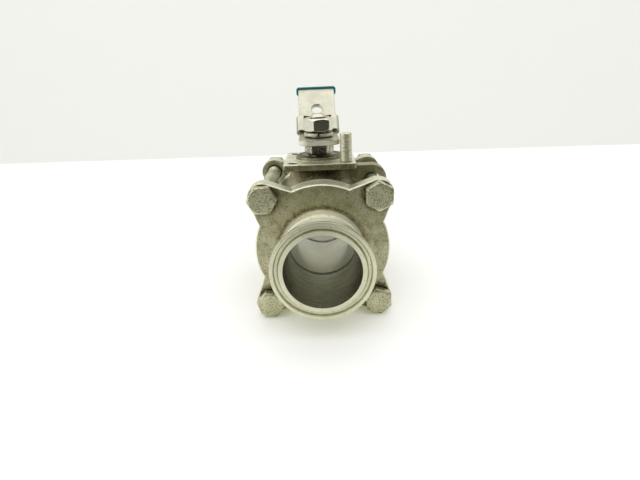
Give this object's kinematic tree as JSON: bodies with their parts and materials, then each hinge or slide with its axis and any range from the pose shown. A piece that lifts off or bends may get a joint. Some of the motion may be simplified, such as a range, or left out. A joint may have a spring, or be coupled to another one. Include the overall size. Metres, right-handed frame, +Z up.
{
  "type": "ball valve",
  "caption": "Full-port stainless ball valve with clamp ferrule ends, bolted end caps, an actuator pad with a stop post, and a cranked lever with a vinyl grip and a sliding lock.",
  "frame": {"origin": "on the plane that the valve rests on, under the middle of its overall length", "axes": "+Y along the pipe, the way the open lever points; +Z up along the stem; +X to the right, seen along +Y"},
  "size_m": [0.0945, 0.2533, 0.1471],
  "materials": {
    "cast_stainless": "blasted casting, matt",
    "turned_stainless": "turned, satin",
    "bolt_stainless": "cold headed, slightly dull",
    "sheet_stainless": "rolled sheet, satin",
    "polished_stainless": "polished",
    "white_ptfe": "waxy, matt",
    "teal_vinyl": "dipped vinyl, half gloss"
  },
  "bodies": {
    "housing": {"body": "cast_stainless", "end_cap_near": "cast_stainless", "end_cap_far": "cast_stainless", "seat_near": "white_ptfe", "seat_far": "white_ptfe", "body_seal_near": "white_ptfe", "body_seal_far": "white_ptfe", "bolt_1": "bolt_stainless", "bolt_2": "bolt_stainless", "bolt_3": "bolt_stainless", "bolt_4": "bolt_stainless", "spring_washer_1": "bolt_stainless", "spring_washer_2": "bolt_stainless", "spring_washer_3": "bolt_stainless", "spring_washer_4": "bolt_stainless", "bolt_nut_1": "bolt_stainless", "bolt_nut_2": "bolt_stainless", "bolt_nut_3": "bolt_stainless", "bolt_nut_4": "bolt_stainless", "thrust_washer": "white_ptfe", "packing_ring_1": "white_ptfe", "packing_ring_2": "white_ptfe", "gland_follower": "turned_stainless", "stop_post": "bolt_stainless"},
    "lever": {"lever": "sheet_stainless", "grip_sleeve": "teal_vinyl", "lever_nut": "polished_stainless", "lever_washer": "polished_stainless", "stem": "turned_stainless", "gland_nut": "turned_stainless", "disc_spring_1": "turned_stainless", "disc_spring_2": "turned_stainless"},
    "ball": {"ball": "polished_stainless"},
    "lock_slide": {"lock_slide": "sheet_stainless"}
  },
  "joints": [
    {"name": "lever_turn", "type": "hinge", "parent": "housing", "child": "lever", "pos_m": [0, -0.0485, 0.11], "axis": [0, 0, -1], "range_deg": [0, 90]},
    {"name": "ball_turn", "type": "hinge", "parent": "housing", "child": "ball", "pos_m": [0, -0.0485, 0.04707], "axis": [0, 0, -1], "range_deg": [0, 90]},
    {"name": "lock_slide_travel", "type": "slide", "parent": "lever", "child": "lock_slide", "axis": [-0.0179, 0.6818, 0.7314], "range_m": [0, 0.022]}
  ],
  "couplings": [
    {"joint": "ball_turn", "follows": "lever_turn", "ratio": 1}
  ]
}
